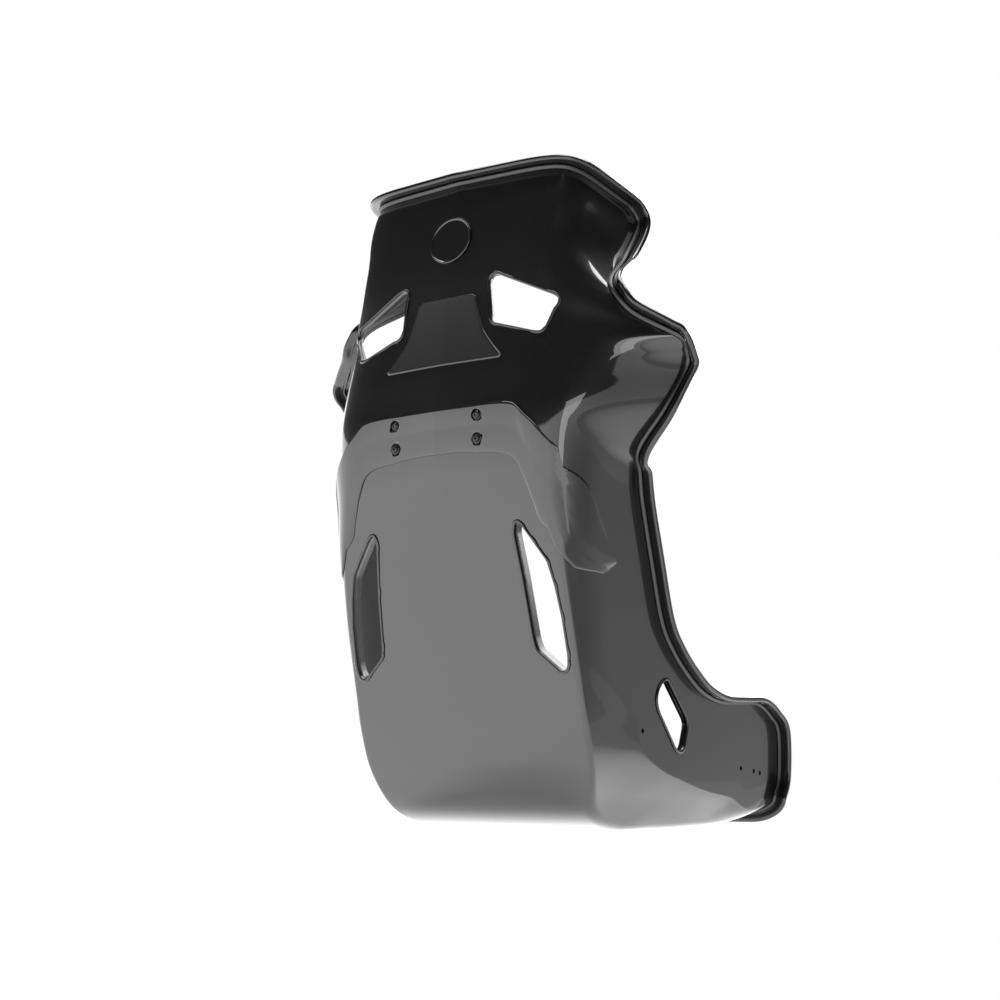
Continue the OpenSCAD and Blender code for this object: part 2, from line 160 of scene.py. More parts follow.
soft_panel("overhead", (0.0, -0.4, 3.4), (0, 0, 0.3), 3.0, 3.0, 200)
soft_panel("right_rear", (-3.2, 1.7, 1.35), (0, 0, 0.6), 1.1, 1.0, 14)
soft_panel("front", (0.6, -3.4, 2.0), (0, 0, 0.5), 2.4, 2.0, 90)

# ---------------------------------------------------------------------------
# Seat shell: one tub of carbon and glass laminate, 4 mm thick, cured in a
# mould and sprayed black with a thick clear coat. Its form is a row of
# cross-sections from the top edge down the back, under the hips and out to
# the front lip, and each section runs from the spine out to the rim.
# ---------------------------------------------------------------------------
WALL = 4.0
# [back distance, height, half width, corner step, corner radius, bend x,
#  bend position, bend softness, rim x, rim distance, rim height], in mm
STATIONS = np.array([
    [52, 935, 150, 12, 50, 181, 0.15, 1.1, 178, 238, 915],
    [47, 912, 154, 10, 50, 186, 0.12, 1.1, 184, 252, 888],
    [38, 872, 158, 8, 50, 183, 0.14, 1.1, 188, 203, 823],
    [30, 828, 160, 8, 50, 180, 0.28, 1.1, 218, 118, 766],
    [25, 785, 162, 8, 50, 190, 0.36, 1.1, 236, 108, 738],
    [22, 745, 163, 8, 50, 205, 0.38, 1.1, 258, 122, 712],
    [18, 708, 164, 8, 50, 213, 0.36, 1.1, 294, 150, 690],
    [13, 672, 165, 8, 50, 217, 0.32, 1.1, 308, 163, 680],
    [8, 640, 166, 8, 48, 218, 0.26, 1.1, 306, 177, 666],
    [4, 608, 168, 8, 44, 216, 0.2, 1.1, 300, 186, 644],
    [1, 576, 170, 6, 38, 213, 0.19, 1.1, 278, 163, 585],
    [0, 545, 172, 5, 30, 210, 0.2, 1.1, 238, 156, 530],
    [3, 500, 178, 4, 24, 209, 0.19, 1.1, 222, 184, 505],
    [9, 460, 184, 2, 18, 208, 0.18, 1.1, 213, 204, 465],
    [22, 390, 191, 0, 10, 206, 0.14, 1, 208, 236, 382],
    [38, 310, 196, 0, 8, 206, 0.2, 0.8, 206, 266, 298],
    [51, 250, 197, 0, 8, 205, 0.16, 0.6, 205, 300, 257],
    [63, 200, 198, 0, 8, 205, 0.2, 0.4, 205, 338, 227],
    [78, 140, 199, 0, 8, 205, 0.35, 0.12, 205, 381, 203],
    [98, 80, 194, 0, 8, 205, 0.31, 0.08, 205, 436, 190],
    [128, 26, 176, 0, 14, 205, 0.34, 0.08, 205, 502, 190],
    [200, 3, 168, 0, 18, 205, 0.33, 0.08, 205, 560, 190],
    [300, 0.3, 166, 0, 20, 205, 0.29, 0.1, 205, 602, 172],
    [400, 1, 168, 0, 20, 205, 0.26, 0.15, 205, 630, 146],
    [510, 6, 172, 0, 20, 205, 0.22, 0.25, 205, 628, 76],
    [612, 24, 176, 0, 20, 202, 0.5, 0.6, 205, 612, 46],
])
LAST = len(STATIONS) - 1


def unit(v):
    return v / np.maximum(np.linalg.norm(v, axis=-1, keepdims=True), 1e-9)


def raw_skin(row, col):
    """Points of the outer surface as [x to the right, distance forward, height] in mm."""
    row, col = np.broadcast_arrays(np.asarray(row, float), np.asarray(col, float))
    i = np.clip(np.floor(row).astype(int), 0, LAST - 1)
    u = (row - i)[..., None]
    a, b = STATIONS[np.maximum(i - 1, 0)], STATIONS[i]
    c, d = STATIONS[i + 1], STATIONS[np.minimum(i + 2, LAST)]
    s = 0.5 * (2 * b + (c - a) * u + (2 * a - 5 * b + 4 * c - d) * u * u + (3 * b - a - 3 * c + d) * u ** 3)
    spine = np.stack([0 * s[..., 0], s[..., 0], s[..., 1]], -1)
    edge = np.stack([s[..., 2], s[..., 0] + s[..., 3], s[..., 1]], -1)
    rim = s[..., 8:11]
    side = edge + (rim - edge) * s[..., 6:7]
    side = np.concatenate([s[..., 5:6], side[..., 1:]], -1)
    le = np.linalg.norm(side - edge, axis=-1, keepdims=True)
    lf = np.linalg.norm(rim - side, axis=-1, keepdims=True)
    p0 = edge + unit(spine - edge) * s[..., 4:5]
    p1 = edge + unit(side - edge) * np.minimum(s[..., 4:5], 0.45 * le)
    p2 = side + unit(edge - side) * 0.5 * le
    p3 = side + unit(rim - side) * np.minimum(0.6 * lf, s[..., 7:8] * le)
    k = np.abs(col)[..., None]
    f = k - np.clip(np.floor(k), 0, 4)
    out = np.where(k < 1, spine + (p0 - spine) * f, p3 + (rim - p3) * f)
    out = np.where((k >= 1) & (k < 2), (1 - f) ** 2 * p0 + 2 * f * (1 - f) * edge + f * f * p1, out)
    out = np.where((k >= 2) & (k < 3), p1 + (p2 - p1) * f, out)
    out = np.where((k >= 3) & (k < 4), (1 - f) ** 2 * p2 + 2 * f * (1 - f) * side + f * f * p3, out)
    return out * np.stack([np.where(col < 0, -1.0, 1.0), 1 + 0 * col, 1 + 0 * col], -1)


def outward(row, col):
    row, col = np.broadcast_arrays(np.asarray(row, float), np.asarray(col, float))
    e = 0.03
    k = np.where(row > LAST - 1, np.clip(col, -3, 3), col)
    down = raw_skin(np.minimum(row + e, LAST), k) - raw_skin(np.maximum(row - e, 0), k)
    across = raw_skin(row, np.minimum(col + e, 5)) - raw_skin(row, np.maximum(col - e, -5))
    return unit(np.cross(down, across))


def skin(row, col, rise=0.0):
    """Points at a rise above the outer surface; negative is inside the seat. Metres, in the row frame."""
    p = raw_skin(row, col) + outward(row, col) * np.asarray(rise)[..., None]
    return to_frame(p)


def to_frame(p):
    p = np.asarray(p, float)
    return np.stack([-p[..., 0] / 1000, REAR_Y - p[..., 1] / 1000, p[..., 2] / 1000], -1)


def mesh_object(name, points, faces, material, smooth=True):
    data = bpy.data.meshes.new(name)
    data.from_pydata([tuple(p) for p in points], [], faces)
    data.validate()
    made = bpy.data.objects.new(name, data)
    scene.collection.objects.link(made)
    if material:
        data.materials.append(material)
    tidy = bmesh.new()
    tidy.from_mesh(data)
    bmesh.ops.remove_doubles(tidy, verts=tidy.verts, dist=1e-6)
    bmesh.ops.recalc_face_normals(tidy, faces=tidy.faces)
    tidy.to_mesh(data)
    tidy.free()
    if smooth:
        data.shade_smooth()
    return made


def closed_sheet(name, top, low, material):
    """A solid between two grids of points of the same size."""
    n, m = top.shape[:2]
    k = n * m
    at = np.arange(k).reshape(n, m)
    faces = []
    for i in range(n - 1):
        for j in range(m - 1):
            quad = (at[i, j], at[i, j + 1], at[i + 1, j + 1], at[i + 1, j])
            faces.append(tuple(int(v) for v in quad))
            faces.append(tuple(int(v) + k for v in reversed(quad)))
    border = [*at[0, :], *at[1:, -1], *at[-1, -2::-1], *at[-2:0:-1, 0]]
    for a, b in zip(border, border[1:] + border[:1]):
        faces.append((int(a), int(a) + k, int(b) + k, int(b)))
    return mesh_object(name, np.concatenate([top.reshape(-1, 3), low.reshape(-1, 3)]), faces, material)


def clear_coated_black(name, base, orange_peel, coat=1.0, coat_rough=0.03, rough=0.32):
    """Sprayed lacquer over laminate: an orange peel of some 9 mm in the coat, and flecks of 0.6 mm under it."""
    made, tree = new_material(name)
    where = add_node(tree, "ShaderNodeTexCoord").outputs["Object"]
    peel = add_node(tree, "ShaderNodeTexNoise", [("Vector", where)], s_Scale=1 / 0.009, s_Detail=2.0)
    flake = add_node(tree, "ShaderNodeTexNoise", [("Vector", where)], s_Scale=1 / 0.0006, s_Detail=1.0)
    tone = add_node(tree, "ShaderNodeValToRGB", [("Fac", flake.outputs["Fac"])])
    tone.color_ramp.elements[0].position, tone.color_ramp.elements[1].position = 0.3, 0.75
    low, high = paint(base[0]), paint(base[1])
    tone.color_ramp.elements[0].color, tone.color_ramp.elements[1].color = low, high
    wear = add_node(tree, "ShaderNodeTexNoise", [("Vector", where)], s_Scale=1 / 0.12, s_Detail=4.0)
    matt = add_node(tree, "ShaderNodeMapRange", [("Value", wear.outputs["Fac"])],
                    s_To_Min=rough - 0.04, s_To_Max=rough + 0.06)
    bump = add_node(tree, "ShaderNodeBump", [("Height", peel.outputs["Fac"])],
                    s_Strength=orange_peel, s_Distance=0.0003)
    shader = add_node(
        tree, "ShaderNodeBsdfPrincipled",
        [("Base Color", tone.outputs["Color"]), ("Roughness", matt.outputs["Result"]),
         ("Normal", bump.outputs["Normal"]), ("Coat Normal", bump.outputs["Normal"])],
        s_IOR=1.5, s_Specular_IOR_Level=0.12, s_Coat_Weight=coat, s_Coat_Roughness=coat_rough, s_Coat_IOR=1.5)
    add_node(tree, "ShaderNodeOutputMaterial", [("Surface", shader.outputs[0])])
    return made


shell_lacquer = clear_coated_black("clear_coated_carbon_laminate", ("#0b0b0c", "#121214"), 0.05)

# Slot outlines, seen from behind: shoulder and long slots as [x, height],
# lap slot as [distance, height]
SHOULDER_SLOT = [[77, 776], [75, 771], [81, 712], [86, 706], [154, 685], [161, 686], [179, 724], [180, 731],
                 [175, 736], [84, 779]]
LONG_SLOT = [[124, 418], [121, 406], [128, 340], [133, 262], [136, 248], [168, 220], [175, 217], [182, 224], [184, 240],
             [182, 290], [177, 330], [169, 364], [150, 392], [134, 414], [129, 419]]
LAP_SLOT = [[272, 212], [284, 213], [291, 205], [337, 158], [338, 149], [326, 118], [316, 113], [303, 117], [257, 170],
            [252, 184], [258, 200]]


# Middle of each slot as [x, distance, height] in mm, and the lean of its own frame
SHOULDER_AT, SHOULDER_TILT = (128, 29, 731), math.radians(8)
LONG_AT, LONG_TILT = (153, 39, 318), math.radians(12)
LAP_AT = (205, 295, 163)


def rounded(outline, radius, grow=0.0, steps=5):
    """The outline grown outwards and with its corners rounded."""
    p = np.array(outline, float)
    area = np.sum(p[:, 0] * np.roll(p[:, 1], -1) - np.roll(p[:, 0], -1) * p[:, 1])
    if area < 0:
        p = p[::-1]
    back, ahead = unit(p - np.roll(p, 1, 0)), unit(np.roll(p, -1, 0) - p)
    nb = np.stack([back[:, 1], -back[:, 0]], -1)
    na = np.stack([ahead[:, 1], -ahead[:, 0]], -1)
    bis = unit(nb + na)
    p = p + bis * (grow / np.maximum(np.sum(bis * na, -1), 0.5))[:, None]
    out = []
    for i, q in enumerate(p):
        a, b = p[i - 1] - q, p[(i + 1) % len(p)] - q
        ra = min(radius, 0.45 * np.linalg.norm(a))
        rb = min(radius, 0.45 * np.linalg.norm(b))
        a, b = q + unit(a) * ra, q + unit(b) * rb
        for k in range(steps + 1):
            f = k / steps
            out.append((1 - f) ** 2 * a + 2 * f * (1 - f) * q + f * f * b)
    return np.array(out)


def slot_frame(kind, side):
    """Origin, across, up and out directions of a slot's own flat frame, in mm measures."""
    if kind == "shoulder":
        o, out, up = SHOULDER_AT, (math.sin(SHOULDER_TILT), -math.cos(SHOULDER_TILT), 0), (0, 0, 1)
    elif kind == "long":
        o, out = LONG_AT, (0, -math.cos(LONG_TILT), -math.sin(LONG_TILT))
        up = (0, -math.sin(LONG_TILT), math.cos(LONG_TILT))
    else:
        o, out, up = LAP_AT, (1, 0, 0), (0, 0, 1)
    o, out, up = (np.array(v, float) for v in (o, out, up))
    across = np.cross(out, up)
    flip = np.array([side, 1, 1])
    return o * flip, across * flip, up * flip, out * flip


def slot_flat(kind):
    """Slot outline in its own frame, in mm."""
    if kind == "shoulder":
        return [[-(x - SHOULDER_AT[0]) / math.cos(SHOULDER_TILT), z - SHOULDER_AT[2]] for x, z in SHOULDER_SLOT]
    if kind == "long":
        return [[-(x - LONG_AT[0]), (z - LONG_AT[2]) / math.cos(LONG_TILT)] for x, z in LONG_SLOT]
    return [[-(d - LAP_AT[1]), z - LAP_AT[2]] for d, z in LAP_SLOT]


def slot_points(kind, side, flat, rise):
    o, across, up, out = slot_frame(kind, side)
    flat = np.asarray(flat)
    return to_frame(o + flat[:, :1] * across + flat[:, 1:] * up + out * rise)


def lofted(low, high):
    """Closed (points, faces) between two rings of as many points."""
    n = len(low)
    faces = [tuple(range(n)), tuple(range(2 * n - 1, n - 1, -1))]
    faces += [(i, i + n, (i + 1) % n + n, (i + 1) % n) for i in range(n)]
    return np.concatenate([low, high]), faces


def prism(kind, side, grow, radius, low, high):
    """Points and faces of a slot-shaped prism."""
    ring = rounded(slot_flat(kind), radius, grow)
    return lofted(slot_points(kind, side, ring, low), slot_points(kind, side, ring, high))


def cut_away(target, cutters):
    """Cuts a list of closed (points, faces) from the target."""
    points, faces, base = [], [], 0
    for p, f in cutters:
        points.append(p)
        faces += [tuple(int(v) + base for v in face) for face in f]
        base += len(p)
    tool = mesh_object("cutter", np.concatenate(points), faces, None, smooth=False)
    cut = target.modifiers.new("openings", "BOOLEAN")
    cut.operation, cut.object, cut.solver = "DIFFERENCE", tool, "MANIFOLD"
    result = bpy.data.meshes.new_from_object(target.evaluated_get(bpy.context.evaluated_depsgraph_get()))
    target.modifiers.clear()
    old = target.data
    target.data = result
    result.name = old.name
    bpy.data.meshes.remove(old)
    bpy.data.objects.remove(tool)


def follow_normals(target, grids):
    """Gives the faces left after a cut the smooth normals of the surface they were cut from."""
    points = np.concatenate([g.reshape(-1, 3) for g, _ in grids])
    normals = np.concatenate([n.reshape(-1, 3) for _, n in grids])
    sheet_of = np.concatenate([np.full(g.shape[0] * g.shape[1], k) for k, (g, _) in enumerate(grids)])
    tree = KDTree(len(points))
    for k, p in enumerate(points):
        tree.insert(p, k)
    tree.balance()
    data = target.data
    vertex_normals = []
    for v in data.vertices:
        near = tree.find_n(v.co, 5)
        first = sheet_of[near[0][1]]
        total = np.zeros(3)
        for _, k, far in near:
            if sheet_of[k] == first:
                total += normals[k] / (far + 1e-5) ** 2
        vertex_normals.append(total / max(np.linalg.norm(total), 1e-12))
    loops = []
    for face in data.polygons:
        fn = np.array(face.normal)
        for v in face.vertices:
            n = vertex_normals[v]
            loops.append(tuple(n) if fn @ n > 0.8 else tuple(fn))
    data.shade_smooth()
    data.normals_split_custom_set(loops)


def cylinder_cutter(centre, axis, radius, length, sides=40):
    axis = Vector(axis).normalized()
    turn = axis.to_track_quat("Z", "Y").to_matrix()
    angles = np.linspace(0, 2 * math.pi, sides, endpoint=False)
    ring = [turn @ Vector((radius * math.cos(a), radius * math.sin(a), 0)) for a in angles]
    return lofted(*(np.array([Vector(centre) + r + axis * e * length / 2 for r in ring]) for e in (-1, 1)))


def belt_ring(half_wide, half_deep, radius, grow=0.0, steps=5):
    """Outline of the belt passage in the pan, in mm about its centre."""
    corners = [[-half_wide, -half_deep], [half_wide, -half_deep], [half_wide, half_deep], [-half_wide, half_deep]]
    return rounded(corners, radius, grow, steps)


def at_belt(ring, height):
    return np.array([to_frame([p[0], BELT_PLACE + p[1], height]) for p in ring])


# Liner wall; places of the side inserts as (distance, height), of the belt passage in the pan as a distance with
# its half sizes, and of the brace screws as (x, height), in mm
LINER = 2.5
INSERT_PLACES = [(212, 140), (502, 89), (544, 85), (564, 82)]
BELT_PLACE, BELT_HALF = 360, (50, 15)
SCREW_PLACES = [(x, z) for x in (-72, 72) for z in (539, 572)]

# Points across each of the five stretches of a half section
half_cols = np.concatenate([np.linspace(k, k + 1, n, endpoint=False) for k, n in enumerate((14, 10, 6, 12))]
                           + [np.linspace(4, 5, 15)])
shell_cols = np.concatenate([-half_cols[:0:-1], half_cols])
shell_rows = np.linspace(0, LAST, 226)
grid_row, grid_col = np.meshgrid(shell_rows, shell_cols, indexing="ij")
outer_skin = skin(grid_row, grid_col, 0 * grid_row)
inner_skin = skin(grid_row, grid_col, 0 * grid_row - WALL)
out_dir = outward(grid_row, grid_col) * np.array([-1, -1, 1])
shell = closed_sheet("seat_shell_tub", outer_skin, inner_skin, shell_lacquer)
openings = []
for side in (1, -1):
    openings.append(prism("shoulder", side, LINER + 0.1, 7, -30, 35))
    openings.append(prism("long", side, LINER + 0.1, 6, -45, 30))
    openings.append(prism("lap", side, LINER + 0.1, 9, -30, 30))
    for distance, height in INSERT_PLACES:
        centre = to_frame([side * 200, distance, height])
        openings.append(cylinder_cutter(centre, (1, 0, 0), 0.0035, 0.04))
for x, z in SCREW_PLACES:
    openings.append(cylinder_cutter(to_frame([x, 0, z]), (0, 1, 0), 0.0052, 0.06))
belt = belt_ring(*BELT_HALF, 12, LINER + 0.1)
openings.append(lofted(at_belt(belt, -20), at_belt(belt, 30)))
cut_away(shell, openings)
follow_normals(shell, [(outer_skin, out_dir), (inner_skin, -out_dir)])
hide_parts("seat_shell")
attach(shell, "root")

# ---------------------------------------------------------------------------
# Rim: a moulded flange bonded round the whole front edge of the tub. It
# stands out 20 mm from the wall, and a soft bead fills the corner behind it.
# ---------------------------------------------------------------------------
FLANGE_OUT, FLANGE_THICK, BEAD = 20.0, 9.0, 5.0
half_loop = [(0.0, c) for c in np.linspace(0, 5, 44)]
half_loop += [(r, 5.0) for r in np.linspace(0, LAST, 226)[1:]]
half_loop += [(float(LAST), c) for c in np.linspace(5, 0, 44)[1:]]
rim_path = np.array(half_loop + [(r, -c) for r, c in half_loop[-2:0:-1]])


def smooth_loop(values, times):
    for _ in range(times):
        values = 0.25 * np.roll(values, 1, 0) + 0.5 * values + 0.25 * np.roll(values, -1, 0)
    return values


def loop_faces(n, m):
    """Faces of a grid of n by m points that closes on itself both ways."""
    return [(i * m + j, (i + 1) % n * m + j, (i + 1) % n * m + (j + 1) % m, i * m + (j + 1) % m)
            for i in range(n) for j in range(m)]


def rim_sweep(name, corners, radius, material):
    """Sweeps a profile of [out of the wall, past the edge] mm round the rim."""
    base = raw_skin(rim_path[:, 0], rim_path[:, 1])
    out = unit(smooth_loop(outward(rim_path[:, 0], rim_path[:, 1]), 3))
    ahead = unit(smooth_loop(np.roll(base, -1, 0) - np.roll(base, 1, 0), 3))
    past = unit(np.cross(out, ahead))
    ring = rounded(corners, radius, steps=4)
    points = base[:, None] + out[:, None] * ring[None, :, :1] + past[:, None] * ring[None, :, 1:]
    return mesh_object(name, to_frame(points).reshape(-1, 3), loop_faces(*points.shape[:2]), material)


rim_lacquer = clear_coated_black("sprayed_glass_fibre_moulding", ("#0e0e0f", "#151517"), 0.05,
                                 coat=0.8, coat_rough=0.08)
f, t = FLANGE_OUT, FLANGE_THICK
flange = rim_sweep("rim_flange_moulding", [
    [-WALL, 0.3], [-WALL, t - 1], [-WALL + 3, t], [f - 6, t], [f - 1, t - 2.5], [f, t - 5], [f, 0.5],
    [f - 2, -1.7], [f - 6, -1.8], [BEAD + 2, 0.3]], 1.6, rim_lacquer)
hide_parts("rim_flange")
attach(flange, "root")

def grained(name, base, size, detail, matt, relief, stretch=(1, 1, 1), **settings):
    """A plain material whose grain, of a size in metres, drives roughness (low, high) and bump (strength, depth)."""
    made, tree = new_material(name)
    where = add_node(tree, "ShaderNodeTexCoord").outputs["Object"]
    where = add_node(tree, "ShaderNodeMapping", [("Vector", where)], s_Scale=stretch).outputs[0]
    grain = add_node(tree, "ShaderNodeTexNoise", [("Vector", where)], s_Scale=1 / size, s_Detail=detail)
    rough = add_node(tree, "ShaderNodeMapRange", [("Value", grain.outputs["Fac"])], s_To_Min=matt[0], s_To_Max=matt[1])
    bump = add_node(tree, "ShaderNodeBump", [("Height", grain.outputs["Fac"])],
                    s_Strength=relief[0], s_Distance=relief[1])
    shader = add_node(tree, "ShaderNodeBsdfPrincipled", [("Roughness", rough.outputs[0]), ("Normal", bump.outputs[0])],
                      s_Base_Color=paint(base), **settings)
    add_node(tree, "ShaderNodeOutputMaterial", [("Surface", shader.outputs[0])])
    return made


# Extruded rubber: dull, with a fine moulding grain
bead_rubber = grained("extruded_epdm_rubber", "#0a0a0a", 0.0008, 3.0, (0.35, 0.5), (0.25, 0.0002), s_IOR=1.52)
bead = rim_sweep("rim_sealing_bead", [
    [0.2, 0.0], [BEAD, 0.0], [BEAD + 0.2, -2.0], [BEAD * 0.6, -BEAD], [0.2, -BEAD * 1.1]], 1.2, bead_rubber)
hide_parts("rim_bead")
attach(bead, "root")

# ---------------------------------------------------------------------------
# Rear brace: an inverted U of thicker laminate bonded over the middle of the
# back, moulded with a shallow fold along it and bevelled arms that wrap round
# the flanks. Four screws clamp it to inserts in the tub.
# ---------------------------------------------------------------------------
# Half of its outline from the middle to the arm's end: lower edge and upper edge, each as a row and a column
BRACE = np.array([
    [11.50, 0.00, 9.70, 0.00], [11.50, 0.25, 9.70, 0.25], [11.58, 0.50, 9.70, 0.50], [11.68, 0.75, 9.70, 0.78],
    [11.95, 0.87, 9.85, 1.02], [12.55, 0.90, 10.60, 1.30], [13.25, 0.92, 11.55, 1.90], [13.75, 0.97, 12.50, 3.30],
    [14.20, 1.35, 13.20, 3.85], [14.42, 2.80, 13.75, 4.15], [14.42, 4.10, 14.25, 4.30],
])


def brace_edges(u):
    """Lower and upper edge of the brace as rows and columns of the shell, for u from -1 to 1."""
    n = len(BRACE) - 1
    s = np.abs(u) * n
    i = np.minimum(np.floor(s).astype(int), n - 1)
    f = (s - i)[:, None]
    a, b, c, d = BRACE[np.maximum(i - 1, 0)], BRACE[i], BRACE[i + 1], BRACE[np.minimum(i + 2, n)]
    p = 0.5 * (2 * b + (c - a) * f + (2 * a - 5 * b + 4 * c - d) * f * f + (3 * b - a - 3 * c + d) * f ** 3)
    p[:, [1, 3]] *= np.sign(u + 1e-12)[:, None]
    return p


brace_lacquer = clear_coated_black("clear_coated_bonded_panel", ("#0c0c0d", "#131315"), 0.05)
us = np.linspace(-1, 1, 201)
# Across the panel: the share of its width, and the rise in mm above the shell
vs = np.array([0, 0.008, 0.02, 0.035, 0.1, 0.2, 0.3, 0.4, 0.48, 0.5,
               0.52, 0.6, 0.7, 0.8, 0.9, 0.95, 0.975, 0.99, 1.0, 1.0])
edges = brace_edges(us)
rows = edges[:, :1] + (edges[:, 2:3] - edges[:, :1]) * vs
cols = edges[:, 1:2] + (edges[:, 3:4] - edges[:, 1:2]) * vs
rise = np.array([0.7, 1.8, 2.4, 2.6, 2.85, 3.2, 3.55, 3.9, 4.2, 4.35,
                 4.5, 5.2, 6.05, 6.9, 7.75, 8.15, 8.2, 7.9, 7.0, 1.0])
ends = np.clip((1 - np.abs(us)) / 0.03, 0, 1)
rise = 1.0 + (rise[None] - 1.0) * np.sqrt(ends * (2 - ends))[:, None]
brace = closed_sheet("rear_brace_panel", skin(rows, cols, rise), skin(rows, cols, 0 * rows + 0.3), brace_lacquer)
cut_away(brace, [cylinder_cutter(to_frame([x, 0, z]), (0, 1, 0), 0.0052, 0.06) for x, z in SCREW_PLACES]
         + [cylinder_cutter(to_frame([x, -15, z]), (0, 1, 0), 0.0082, 0.03) for x, z in SCREW_PLACES])
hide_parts("rear_brace")
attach(brace, "root")

# ---------------------------------------------------------------------------
# Brace screws and washers: M6 button heads with a hexagon socket, black oxide
# steel, each on a turned washer with a chamfered edge.
# ---------------------------------------------------------------------------
def lofted_rings(name, rings, material, sides=48, smooth=True):
    """A turned piece along +Z from rings of (radius, height, hexagon share)."""
    points, faces = [], []
    for radius, z, hexagon in rings:
        for k in range(sides):
            a = 2 * math.pi * k / sides
            flat = math.cos(math.pi / 6) / math.cos((a + math.pi / 6) % (math.pi / 3) - math.pi / 6)
            r = radius * (1 + (flat - 1) * hexagon) / 1000
            points.append((r * math.cos(a), r * math.sin(a), z / 1000))
    for i in range(len(rings) - 1):
        for k in range(sides):
            after = (k + 1) % sides
            faces.append((i * sides + k, i * sides + after, (i + 1) * sides + after, (i + 1) * sides + k))
    return mesh_object(name, points, faces, material, smooth)


def new_layout(name, **inputs):
    """A Geometry Nodes tree with named inputs and one result, and the outputs of its input node."""
    group = bpy.data.node_groups.new(name, "GeometryNodeTree")
    for label, kind in inputs.items():
        group.interface.new_socket(label, in_out="INPUT", socket_type="NodeSocket" + kind)
    group.interface.new_socket("Result", in_out="OUTPUT", socket_type="NodeSocketGeometry")
    return group, add_node(group, "NodeGroupInput").outputs


def finish_layout(group, geometry, material):
    finish = add_node(group, "GeometryNodeSetMaterial", [("Geometry", geometry.outputs[0]), ("Material", material)])
    add_node(group, "NodeGroupOutput", [("Result", finish.outputs[0])])


def line_object(name, points, edges=()):
    data = bpy.data.meshes.new(name)
    data.from_pydata([tuple(p) for p in points], edges, [])
    made = bpy.data.objects.new(name, data)
    scene.collection.objects.link(made)
    return made


def run_layout(made, group, **inputs):
    """Sets a tree's inputs by socket identifier, evaluates it and keeps the result as a plain mesh."""
    layout = made.modifiers.new("layout", "NODES")
    layout.node_group = group
    for s in group.interface.items_tree:
        if s.in_out == "INPUT" and s.name in inputs:
            layout[s.identifier] = inputs[s.name]
    result = bpy.data.meshes.new_from_object(made.evaluated_get(bpy.context.evaluated_depsgraph_get()))
    made.modifiers.clear()
    old = made.data
    made.data = result
    bpy.data.meshes.remove(old)
    return made


# One turned piece at every place, all turned the same way
fastener_tree, given = new_layout("fasteners_at_places", Places="Geometry", Piece="Object", Turn="Vector",
                                  Finish="Material")
part = add_node(fastener_tree, "GeometryNodeObjectInfo", [("Object", given["Piece"])])
placed = add_node(fastener_tree, "GeometryNodeInstanceOnPoints",
                  [("Points", given["Places"]), ("Instance", part.outputs["Geometry"]), ("Rotation", given["Turn"])])
real = add_node(fastener_tree, "GeometryNodeRealizeInstances", [("Geometry", placed.outputs[0])])
finish_layout(fastener_tree, real, given["Finish"])


def instances_at(name, piece, places, turn, material, node):
    """Puts a copy of a piece at every place, in the place of a CAD node."""
    made = run_layout(line_object(name, places), fastener_tree, Piece=piece, Turn=turn, Finish=material)
    made.data.name = name
    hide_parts(node)
    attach(made, "root")


# Black oxide on steel: a thin dark film, so a dull dark metal, paler and darker in fine patches
oxide_steel, tree = new_material("black_oxide_steel")
where = add_node(tree, "ShaderNodeTexCoord").outputs["Object"]
film = add_node(tree, "ShaderNodeTexNoise", [("Vector", where)], s_Scale=1 / 0.002, s_Detail=4.0)
tone = add_node(tree, "ShaderNodeValToRGB", [("Fac", film.outputs["Fac"])])
tone.color_ramp.elements[0].color, tone.color_ramp.elements[1].color = paint("#232324"), paint("#3a3a3b")
rough = add_node(tree, "ShaderNodeMapRange", [("Value", film.outputs["Fac"])], s_To_Min=0.28, s_To_Max=0.42)
shader = add_node(tree, "ShaderNodeBsdfPrincipled", [("Base Color", tone.outputs[0]), ("Roughness", rough.outputs[0])],
                  s_Metallic=1.0)
add_node(tree, "ShaderNodeOutputMaterial", [("Surface", shader.outputs[0])])

screw = lofted_rings("screw_pattern", [
    (0.01, -8.6, 0), (3, -8.6, 0), (3, 1.6, 0), (5.2, 1.65, 0), (5.3, 1.9, 0), (5.25, 2.5, 0), (4.9, 3.6, 0),
    (4.4, 4.3, 0), (3.7, 4.8, 0), (2.75, 4.98, 0.3), (2.5, 4.9, 1), (2.3, 4.65, 1), (2.3, 2.8, 1), (0.01, 2.6, 1)],
    oxide_steel)
washer = lofted_rings("washer_pattern", [
    (3.3, 0.1, 0), (7.2, 0.1, 0), (7.5, 0.35, 0), (7.5, 1.2, 0), (7.1, 1.6, 0), (3.6, 1.6, 0), (3.3, 1.3, 0),
    (3.3, 0.1, 0)], oxide_steel)
screw_at = [tuple(to_frame([x, 0, z])) for x, z in SCREW_PLACES]
outwards = (math.radians(-90), 0, 0)
instances_at("brace_button_screws", screw, screw_at, outwards, oxide_steel, "brace_screws")
instances_at("brace_screw_washers", washer, screw_at, outwards, oxide_steel, "brace_washers")
for pattern in (screw, washer):
    bpy.data.objects.remove(pattern)

